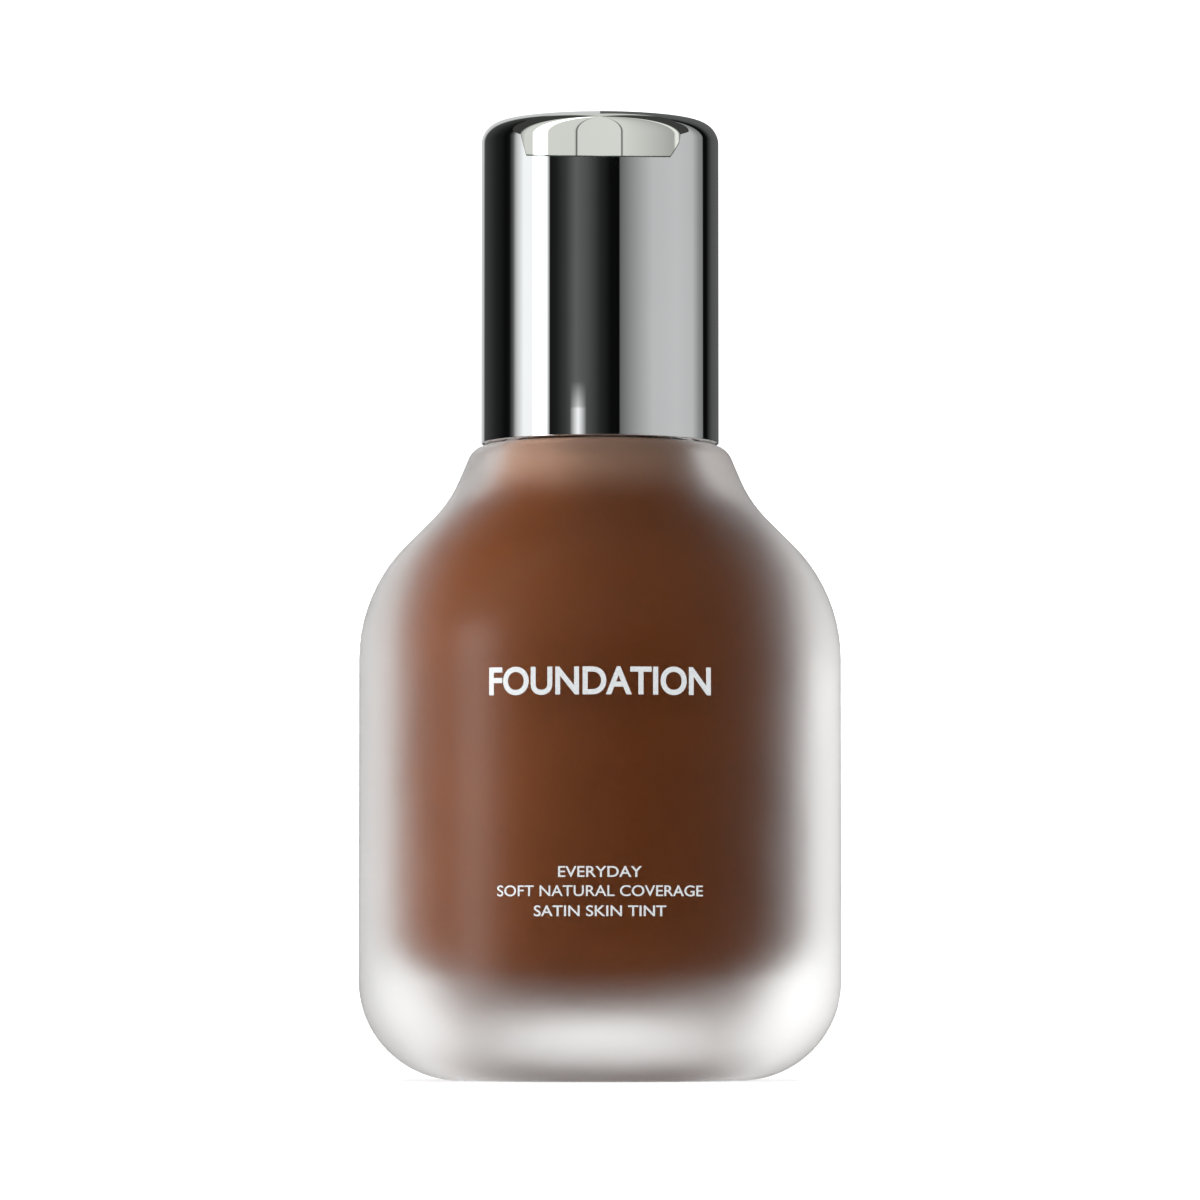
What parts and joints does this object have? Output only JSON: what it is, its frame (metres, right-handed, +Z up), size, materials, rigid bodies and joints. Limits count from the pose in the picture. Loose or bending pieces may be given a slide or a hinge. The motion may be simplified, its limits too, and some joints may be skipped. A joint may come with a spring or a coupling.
{
  "type": "foundation bottle",
  "caption": "Thick-walled round frosted glass foundation bottle with a waisted shoulder, a treatment pump and a tall polished metal overcap.",
  "frame": {"origin": "centre of the base, on the surface the bottle stands on", "axes": "+Z up along the bottle's axis; -Y is the printed front, where the nozzle points"},
  "size_m": [0.0522, 0.0522, 0.104],
  "materials": {
    "frosted_glass": "satin",
    "foundation": "gloss",
    "polished_chrome": "polished",
    "white_plastic": "satin",
    "natural_plastic": "satin",
    "clear_tube": "gloss",
    "foam_washer": "matte",
    "spring_steel": "satin",
    "bearing_steel": "polished",
    "satin_aluminium": "satin"
  },
  "bodies": {
    "bottle": {"glass_bottle": "frosted_glass", "foundation_liquid": "foundation"},
    "pump": {"neck_gasket": "foam_washer", "pump_housing": "natural_plastic", "housing_cap": "white_plastic", "stem_seal": "natural_plastic", "ball_retainer": "natural_plastic", "dip_tube": "clear_tube", "return_spring": "spring_steel"},
    "closure": {"closure_nut": "white_plastic", "collar_sleeve": "polished_chrome"},
    "overcap": {"overcap_shell": "polished_chrome", "overcap_liner": "white_plastic"},
    "plunger": {"piston_stem": "white_plastic", "piston_seat": "natural_plastic"},
    "piston": {"piston": "natural_plastic"},
    "inlet_valve": {"check_ball": "bearing_steel"},
    "actuator": {"actuator_core": "white_plastic", "actuator_shell": "satin_aluminium", "nozzle_insert": "white_plastic"}
  },
  "joints": [
    {"name": "pump_lift", "type": "slide", "parent": "bottle", "child": "pump", "axis": [0, 0, 1], "range_m": [0, 0.00396]},
    {"name": "closure_turn", "type": "hinge", "parent": "pump", "child": "closure", "pos_m": [0, 0, 0.075], "axis": [0, 0, 1], "range_deg": [0, 450]},
    {"name": "overcap_pull", "type": "slide", "parent": "closure", "child": "overcap", "axis": [0, 0, 1], "range_m": [0, 0.04]},
    {"name": "head_press", "type": "slide", "parent": "pump", "child": "plunger", "axis": [0, 0, 1], "range_m": [-0.0044, 0], "stiffness_N_per_m": 1500, "springref_m": 0.004, "deforming": ["return_spring"]},
    {"name": "head_swivel", "type": "hinge", "parent": "plunger", "child": "actuator", "pos_m": [0, 0, 0.09], "axis": [0, 0, 1], "continuous": true},
    {"name": "piston_slip", "type": "slide", "parent": "plunger", "child": "piston", "axis": [0, 0, 1], "range_m": [0, 0.0007]},
    {"name": "inlet_ball_lift", "type": "slide", "parent": "pump", "child": "inlet_valve", "axis": [0, 0, 1], "range_m": [0, 0.0004]}
  ],
  "couplings": [
    {"joint": "closure_turn", "follows": "pump_lift", "rad_per_m": 1979}
  ]
}
